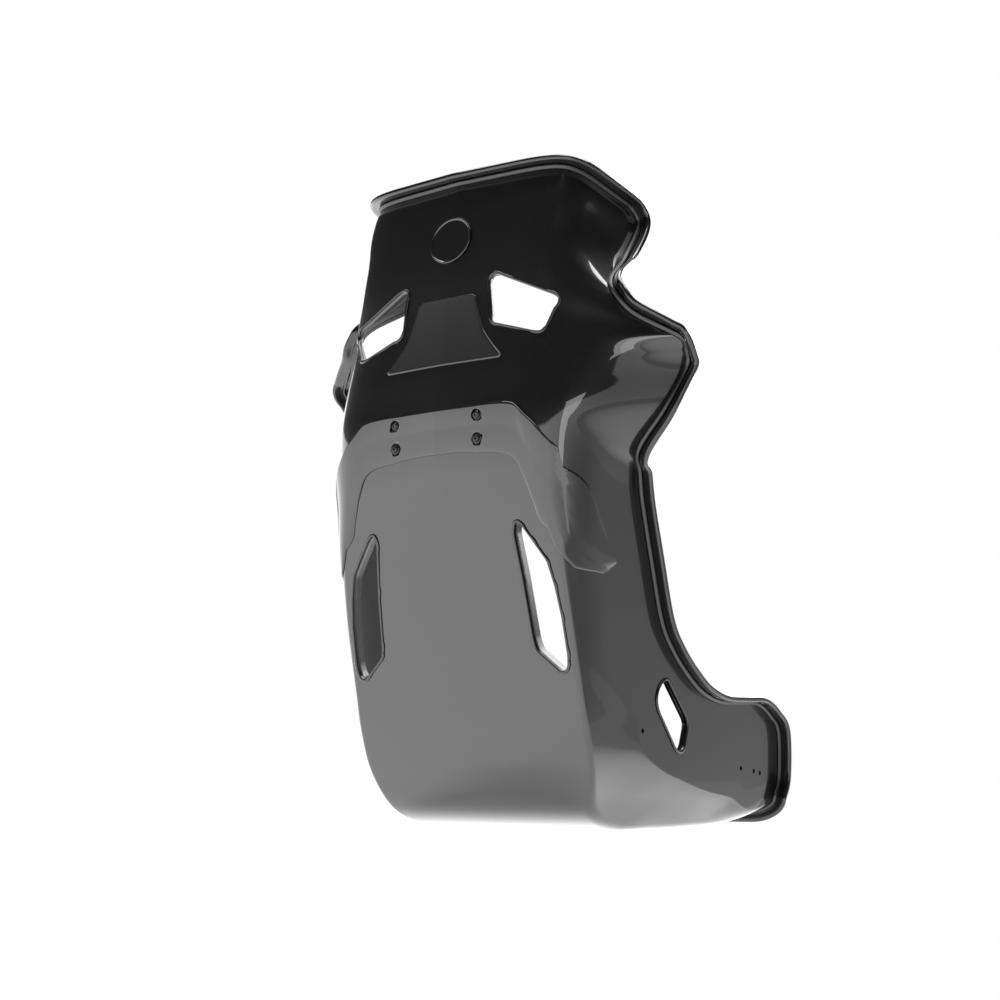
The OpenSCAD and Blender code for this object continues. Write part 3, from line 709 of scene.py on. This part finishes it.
# ---------------------------------------------------------------------------
# Side-mount inserts, their load plates and the brace inserts: turned and
# sawn aluminium, anodised dark where it shows on the flank.
# ---------------------------------------------------------------------------
# Turned aluminium, anodised near black: fine tool marks under the film
anodised = grained("dark_anodised_aluminium", "#1c1c1e", 0.0007, 2.0, (0.25, 0.4), (0.15, 0.0001), s_Metallic=1.0)
thread = []
for k in range(7):
    thread += [(3.0, 7.8 - k, 0), (2.65, 7.55 - k, 0), (2.65, 7.35 - k, 0), (3.0, 7.1 - k, 0)]
insert = lofted_rings("insert_pattern", [
    (3.0, 0.0, 0), (6.8, 0.0, 0), (7.0, 0.2, 0), (7.0, 8.8, 0), (6.8, 9.0, 0), (3.5, 9.0, 0), (3.0, 8.5, 0), *thread,
    (3.0, 0.0, 0)], anodised)
for name, side in (("right", 1), ("left", -1)):
    places = [tuple(to_frame([side * 191.7, d, z])) for d, z in INSERT_PLACES]
    instances_at("side_mount_inserts_" + name, insert, places, (0, math.radians(-90 * side), 0), anodised,
                 "side_inserts_" + name)
bpy.data.objects.remove(insert)

# Rolled plate with a sawn edge: fine brushed lines along its length
plate = grained("brushed_aluminium_plate", "#b9babd", 0.0008, 2.0, (0.3, 0.5), (0.2, 0.0001),
                stretch=(1.0, 0.04, 1.0), s_Metallic=1.0)
for name in ("mount_plate_right", "mount_plate_left", "brace_inserts"):
    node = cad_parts[name]
    node.data.materials.clear()
    node.data.materials.append(plate if name != "brace_inserts" else anodised)

# ---------------------------------------------------------------------------
# Centre panel and blank badge on the upper back: thin moulded covers bonded
# on the shell, with a softened edge.
# ---------------------------------------------------------------------------
# Its outline: rows of the shell, with the half width in mm
PANEL = np.array([[4.75, 44], [4.85, 51], [5.3, 55], [6.3, 68], [6.9, 84], [7.45, 99], [7.6, 96]])
rows = np.interp(np.linspace(0, 6, 61), range(7), PANEL[:, 0])
halves = np.interp(rows, PANEL[:, 0], PANEL[:, 1])
ks = np.concatenate([[-1, -0.985, -0.96], np.linspace(-0.9, 0.9, 37), [0.96, 0.985, 1]])
panel_rows = rows[:, None] + 0 * ks
panel_cols = ks * halves[:, None] / 113
side_rise = np.interp(np.abs(ks), [0, 0.96, 0.985, 1], [1.8, 1.8, 1.4, 0.5])
end_rise = np.interp(np.arange(61), [0, 1.5, 3, 57, 58.5, 60], [0.3, 0.8, 1, 1, 0.8, 0.3])
panel_rise = side_rise[None] * end_rise[:, None] + 0.1
# The cover has a satin coat, unlike the mirror gloss around it
satin_lacquer = clear_coated_black("satin_coated_cover_laminate", ("#101011", "#18181a"), 0.03, coat_rough=0.33)
centre_panel = closed_sheet("centre_panel_cover", skin(panel_rows, panel_cols, panel_rise),
                            skin(panel_rows, panel_cols, 0 * panel_rows + 0.05), satin_lacquer)
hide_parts("centre_panel")
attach(centre_panel, "root")

badge = lofted_rings("badge_pattern", [
    (0.01, 0.2, 0), (36, 0.2, 0), (36, 1.2, 0), (35.4, 1.7, 0), (34.4, 1.8, 0), (33.6, 1.5, 0), (33.0, 0.9, 0),
    (31.0, 0.75, 0), (20, 0.9, 0), (0.01, 1.0, 0)], brace_lacquer, sides=96)
turn = Matrix.Translation(to_frame([0, 32.6, 843])) @ Matrix.Rotation(math.radians(-79), 4, "X")
badge.data.transform(turn)
badge.name = badge.data.name = "blank_badge_disc"
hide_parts("blank_badge")
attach(badge, "root")

# ---------------------------------------------------------------------------
# Slot liners: moulded black surrounds pushed into every harness slot, with a
# rolled lip that follows the curve of the shell. The two long ones are deep.
# ---------------------------------------------------------------------------
# Injection-moulded nylon: a satin black with a fine spark-eroded grain
liner_plastic = grained("injection_moulded_black_nylon", "#0a0a0a", 0.0006, 2.0, (0.22, 0.34), (0.12, 0.0001),
                        s_IOR=1.53)
n, m = outer_skin.shape[:2]
shell_surface = BVHTree.FromPolygons(
    [tuple(p) for p in outer_skin.reshape(-1, 3)],
    [(i * m + j, i * m + j + 1, (i + 1) * m + j + 1, (i + 1) * m + j) for i in range(n - 1) for j in range(m - 1)])


def slot_liner(name, kind, side, depth, radius):
    """A liner of a depth in mm, with its lip laid on the skin by casting rays down to it."""
    flat = rounded(slot_flat(kind), radius, 0.0, 7)
    grown = rounded(slot_flat(kind), radius + 1.0, 1.0, 7)
    away = unit(grown - flat)
    o, across, up, out = slot_frame(kind, side)
    direction = Vector(to_frame(out) - to_frame([0, 0, 0])).normalized()
    lift = []
    for p in slot_points(kind, side, flat + away * 3.0, 60):
        hit = shell_surface.ray_cast(Vector(p), -direction)[3]
        lift.append(60 - hit * 1000 if hit is not None else 0.0)
    lift = smooth_loop(np.array(lift), 4)
    profile = [(0, -depth), (2.4, -depth), (2.4, -0.5), (2.6, 0.25), (4.2, 0.2), (4.7, 0.7), (4.5, 1.5), (3.2, 2.2),
               (1.6, 2.3), (0.5, 1.6), (0, 0.4)]
    points = []
    for p, a, h in zip(flat, away, lift):
        for grow, rise in profile:
            q = p + a * grow
            points.append(to_frame(o + q[0] * across + q[1] * up + out * (rise + h)))
    made = mesh_object("moulded_" + name, points, loop_faces(len(flat), len(profile)), liner_plastic)
    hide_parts(name)
    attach(made, "root")


for word, side in (("right", 1), ("left", -1)):
    slot_liner("shoulder_slot_liner_" + word, "shoulder", side, 7, 7)
    slot_liner("long_slot_liner_" + word, "long", side, 18, 6)
    slot_liner("lap_slot_liner_" + word, "lap", side, 9, 9)

belt = belt_ring(*BELT_HALF, 12, 0.0, 8)
grown = belt_ring(*BELT_HALF, 13, 1.0, 8)
away = unit(grown - belt)
profile = [(0, 0.6), (2.4, 0.6), (2.4, 4.4), (4.6, 4.5), (4.8, 5.4), (3.4, 6.6), (1.4, 6.6), (0, 5.2)]
points = [to_frame([p[0] + a[0] * g, BELT_PLACE + p[1] + a[1] * g, h]) for p, a in zip(belt, away) for g, h in profile]
belt_liner = mesh_object("moulded_crotch_slot_liner", points, loop_faces(len(belt), len(profile)), liner_plastic)
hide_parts("crotch_slot_liner")
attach(belt_liner, "root")

# ---------------------------------------------------------------------------
# Cushions: cut foam in black woven racing fabric, held to the tub by hook and
# loop. Each is sewn from panels: crowned between its sewn channels, thin at
# its edge, with a cord in the edge seam and a row of stitches by each channel.
# ---------------------------------------------------------------------------
# Woven polyester over foam: a plain weave of 1.1 mm, fuzzy at a grazing angle
woven, tree = new_material("woven_polyester_seat_fabric")
at = add_node(tree, "ShaderNodeUVMap", uv_map="weave")
part = add_node(tree, "ShaderNodeSeparateXYZ", [("Vector", at.outputs["UV"])])
threads = []
for axis in ("X", "Y"):
    turns = add_node(tree, "ShaderNodeMath", [(0, part.outputs[axis])], operation="MULTIPLY", s_1=math.tau / 0.0022)
    threads.append(add_node(tree, "ShaderNodeMath", [(0, turns.outputs[0])], operation="SINE"))
crossing = add_node(tree, "ShaderNodeMath", [(0, threads[0].outputs[0]), (1, threads[1].outputs[0])],
                    operation="MULTIPLY")
over = add_node(tree, "ShaderNodeMapRange", [("Value", crossing.outputs[0])], s_From_Min=-1.0, s_From_Max=1.0)
fibre = add_node(tree, "ShaderNodeTexNoise", [("Vector", at.outputs["UV"])], s_Scale=1 / 0.0004, s_Detail=2.0)
worn = add_node(tree, "ShaderNodeTexNoise", [("Vector", at.outputs["UV"])], s_Scale=1 / 0.08, s_Detail=3.0)
height = add_node(tree, "ShaderNodeMath", [(0, over.outputs[0]), (1, fibre.outputs["Fac"])], operation="ADD")
bump = add_node(tree, "ShaderNodeBump", [("Height", height.outputs[0])], s_Strength=0.5, s_Distance=0.0003)
# Painted shade: the weave's low points are coloured darker and its raised crossings paler, following the same height as
# the bump
shade = add_node(tree, "ShaderNodeMix", [(0, over.outputs[0])], data_type="RGBA",
                 s_6=paint("#101011"), s_7=paint("#232325"))
tint = add_node(tree, "ShaderNodeMix", [(0, worn.outputs["Fac"]), (6, shade.outputs[2])],
                data_type="RGBA", blend_type="MULTIPLY", s_7=paint("#c8c8cc"))
shader = add_node(tree, "ShaderNodeBsdfPrincipled", [("Base Color", tint.outputs[2]), ("Normal", bump.outputs[0])],
                  s_Roughness=0.92, s_Sheen_Weight=0.35, s_Sheen_Roughness=0.45, s_Specular_IOR_Level=0.3)
add_node(tree, "ShaderNodeOutputMaterial", [("Surface", shader.outputs[0])])

# Twisted polyester cord and bonded thread: a diagonal twist of 1.2 mm
twisted, tree = new_material("twisted_polyester_cord")
where = add_node(tree, "ShaderNodeTexCoord").outputs["Object"]
twist = add_node(tree, "ShaderNodeTexWave", [("Vector", where)], bands_direction="DIAGONAL",
                 s_Scale=1 / 0.0012 / 3.2, s_Distortion=0.6)
bump = add_node(tree, "ShaderNodeBump", [("Height", twist.outputs["Fac"])], s_Strength=0.4, s_Distance=0.0002)
shader = add_node(tree, "ShaderNodeBsdfPrincipled", [("Normal", bump.outputs[0])],
                  s_Base_Color=paint("#2c2c2f"), s_Roughness=0.75, s_Sheen_Weight=0.2)
add_node(tree, "ShaderNodeOutputMaterial", [("Surface", shader.outputs[0])])

# name: (first row, last row, first column, last column, thickness in mm, gap to the skin in mm, places of the
#        channels that run across, places of those that run along)
CUSHIONS = {
    "head_cushion": (0.6, 4.1, -1.4, 1.4, 26, 4.5, (0.5,), ()),
    "head_bolster_right": (0.7, 3.2, 3.1, 4.75, 18, 4.5, (), ()),
    "shoulder_cushion_right": (7.7, 11.3, 2.4, 4.75, 18, 4.5, (), (0.5,)),
    "back_cushion": (7.7, 12.3, -1.0, 1.0, 26, 7.0, (0.36, 0.68), ()),
    "lumbar_cushion": (12.5, 18.6, -0.6, 0.6, 26, 4.5, (0.25, 0.5, 0.75), ()),
    "seat_cushion": (20.5, 24.7, -1.5, 1.5, 26, 4.5, (0.22, 0.62, 0.82), ()),
    "thigh_cushion_right": (20.8, 23.6, 4.05, 4.8, 18, 13.8, (), ()),
}


# Half width of a sewn channel and thickness at the edge seam, in mm; cord radius and step of the stitches, in m
CHANNEL, EDGE_THICK = 6.0, 5.0
CORD_RADIUS, STITCH_STEP = 0.0017, 0.0052
# Steps of the cloth's run, and the most that a point may move in it, in m
CLOTH_STEPS, CLOTH_REACH = 20, 0.007


def crown(u):
    return np.sqrt(np.clip(1 - np.abs(2 * u - 1) ** 4, 0, 1))


def cushion_grid(spec, side, pitch=7.0, corner=26.0):
    """Front and back points of a cushion, the depth of its channels, and its size in mm."""
    t0, t1, c0, c1, thick, gap, across, along = spec
    probe = skin(*np.meshgrid(np.linspace(t0, t1, 40), np.linspace(c0, c1, 40), indexing="ij"), -gap)
    tall = np.linalg.norm(np.diff(probe, axis=0), axis=2).sum(0).mean() * 1000
    wide = np.linalg.norm(np.diff(probe, axis=1), axis=2).sum(1).mean() * 1000
    n, m = int(tall / pitch), int(wide / pitch)
    u, v = np.linspace(0, 1, n + 1)[:, None], np.linspace(0, 1, m + 1)[None]
    end = np.minimum(u, 1 - u) * tall
    cut = np.where(end < corner, corner - np.sqrt(np.clip(corner ** 2 - (corner - end) ** 2, 0, None)), 0)
    share = 1 - 2 * cut / wide
    vv = 0.5 + (v - 0.5) * share
    rows, cols = t0 + (t1 - t0) * (u + 0 * v), (c0 + (c1 - c0) * vv) * side
    groove = 0 * rows
    for c in across:
        groove = np.maximum(groove, np.exp(-((u - c) * tall / CHANNEL) ** 2) + 0 * v)
    for c in along:
        groove = np.maximum(groove, np.exp(-((v - c) * wide / CHANNEL) ** 2) + 0 * u)
    full = (thick - EDGE_THICK) * crown(u) * crown(v)
    front = skin(rows, cols, -gap - EDGE_THICK - full * (0.88 - 0.42 * groove))
    back = skin(rows, cols, 0 * rows - gap)
    return front, back, groove, (tall, wide), (u + 0 * v, v + 0 * u)


def rail(name, points, closed):
    n = len(points)
    return line_object(name, points, [(k, (k + 1) % n) for k in range(n if closed else n - 1)])


# Cord sewn into an edge: a round section swept along the seam
cord_tree, given = new_layout("corded_edge", Seam="Geometry", Radius="Float", Finish="Material")
line = add_node(cord_tree, "GeometryNodeMeshToCurve", [("Mesh", given["Seam"])])
ring = add_node(cord_tree, "GeometryNodeCurvePrimitiveCircle", [("Radius", given["Radius"])], s_Resolution=10)
tube = add_node(cord_tree, "GeometryNodeCurveToMesh", [("Curve", line.outputs[0]), ("Profile Curve", ring.outputs[0])],
                s_Fill_Caps=True)
soft = add_node(cord_tree, "GeometryNodeSetShadeSmooth", [(0, tube.outputs[0])])
finish_layout(cord_tree, soft, given["Finish"])

# Stitches: one bent thread shape at even steps along a line
stitch_tree, given = new_layout("stitch_row", Line="Geometry", Step="Float", Stitch="Object", Finish="Material")
line = add_node(stitch_tree, "GeometryNodeMeshToCurve", [("Mesh", given["Line"])])
dots = add_node(stitch_tree, "GeometryNodeCurveToPoints", [("Curve", line.outputs[0]), ("Length", given["Step"])],
                mode="LENGTH")
part = add_node(stitch_tree, "GeometryNodeObjectInfo", [("Object", given["Stitch"])])
placed = add_node(stitch_tree, "GeometryNodeInstanceOnPoints", [
    ("Points", dots.outputs["Points"]), ("Instance", part.outputs["Geometry"]), ("Rotation", dots.outputs["Rotation"])])
real = add_node(stitch_tree, "GeometryNodeRealizeInstances", [("Geometry", placed.outputs[0])])
finish_layout(stitch_tree, real, given["Finish"])
stitch = lofted_rings("stitch_pattern", [
    (0.02, -1.6, 0), (0.4, -1.3, 0), (0.55, 0, 0), (0.4, 1.3, 0), (0.02, 1.6, 0)], twisted, sides=6)

bodies = []
for base, spec in CUSHIONS.items():
    sides = ((base, 1), (base[:-5] + "left", -1)) if base.endswith("_right") else ((base, 1),)
    for name, side in sides:
        front, back, groove, (tall, wide), (u, v) = cushion_grid(spec, side)
        n, m = front.shape[:2]
        body = closed_sheet("sewn_" + name, front, back, woven)
        weave = body.data.uv_layers.new(name="weave")
        flat = np.stack([v * wide, u * tall], axis=-1).reshape(-1, 2) / 1000
        loops = np.array([loop.vertex_index for loop in body.data.loops])
        weave.data.foreach_set("uv", flat[loops % (n * m)].ravel())
        held = body.vertex_groups.new(name="held")
        edge = np.zeros((n, m), bool)
        edge[[0, -1]] = edge[:, [0, -1]] = True
        fixed = np.concatenate([np.flatnonzero((edge | (groove > 0.75)).ravel()), np.arange(n * m, 2 * n * m)])
        held.add([int(k) for k in fixed], 1.0, "REPLACE")
        bodies.append((name, spec, body, (n, m), (tall, wide)))
        cloth = body.modifiers.new("stuffing", "CLOTH")
        cloth.settings.use_pressure, cloth.settings.uniform_pressure_force = True, 4.0
        cloth.settings.vertex_group_mass = "held"
        cloth.settings.effector_weights.gravity = 0.0
        cloth.settings.tension_stiffness = cloth.settings.compression_stiffness = 12.0
        cloth.settings.bending_stiffness = 0.4
        cloth.settings.quality = 5
        cloth.point_cache.frame_start, cloth.point_cache.frame_end = 1, CLOTH_STEPS

for step in range(1, CLOTH_STEPS + 1):
    scene.frame_set(step)


def stitched(name, line, surface):
    """A row of stitches laid on the cushion along a line."""
    line = np.array([surface.find_nearest(Vector(p))[0] for p in line[3:-3]])
    return run_layout(rail(name, line, False), stitch_tree, Step=STITCH_STEP, Stitch=stitch, Finish=twisted)


def corded(name, seam):
    return run_layout(rail(name, smooth_loop(seam, 2), True), cord_tree, Radius=CORD_RADIUS, Finish=twisted)


for name, spec, body, (n, m), (tall, wide) in bodies:
    start = np.array([p.co[:] for p in body.data.vertices])
    swollen = body.evaluated_get(bpy.context.evaluated_depsgraph_get()).data
    after = np.array([p.co[:] for p in swollen.vertices])
    body.modifiers.clear()
    move = after - start
    length = np.linalg.norm(move, axis=1, keepdims=True)
    after = start + move * np.minimum(1, CLOTH_REACH / np.maximum(length, 1e-9))
    body.data.vertices.foreach_set("co", after.ravel())
    body.data.update()
    finer = body.modifiers.new("finer", "SUBSURF")
    finer.levels = finer.render_levels = 1
    result = bpy.data.meshes.new_from_object(body.evaluated_get(bpy.context.evaluated_depsgraph_get()))
    body.modifiers.clear()
    body.data = result
    face = after[:n * m].reshape(n, m, 3)
    rim = np.concatenate([face[0, :-1], face[:-1, -1], face[-1, :0:-1], face[:0:-1, 0]])
    pieces = [corded("cord_" + name, rim)]
    surface = BVHTree.FromObject(body, bpy.context.evaluated_depsgraph_get())
    for grid, places, size in ((face, spec[6], tall), (face.transpose(1, 0, 2), spec[7], wide)):
        last = len(grid) - 1
        for c in places:
            for off in (-1, 1):
                at = c * last + off * 3.5 / (size / last)
                lo = int(at)
                line = grid[lo] * (lo + 1 - at) + grid[lo + 1] * (at - lo)
                pieces.append(stitched(f"stitches_{name}_{c}_{off}", line, surface))
    if name == "seat_cushion":
        slot = belt_ring(59, 27, 14, 0.0, 8)
        down = Vector((0, 0, -1))
        around = [surface.ray_cast(Vector(p), down)[0] for p in at_belt(slot * (1.015, 1.03), 200)]
        cut_away(body, [lofted(at_belt(slot, -5), at_belt(slot, 90))])
        pieces.append(corded("cord_belt_opening", np.array(around)))
    for made in pieces:
        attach(made, "root")
    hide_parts(name)
    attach(body, "root")
bpy.data.objects.remove(stitch)
scene.frame_set(1)
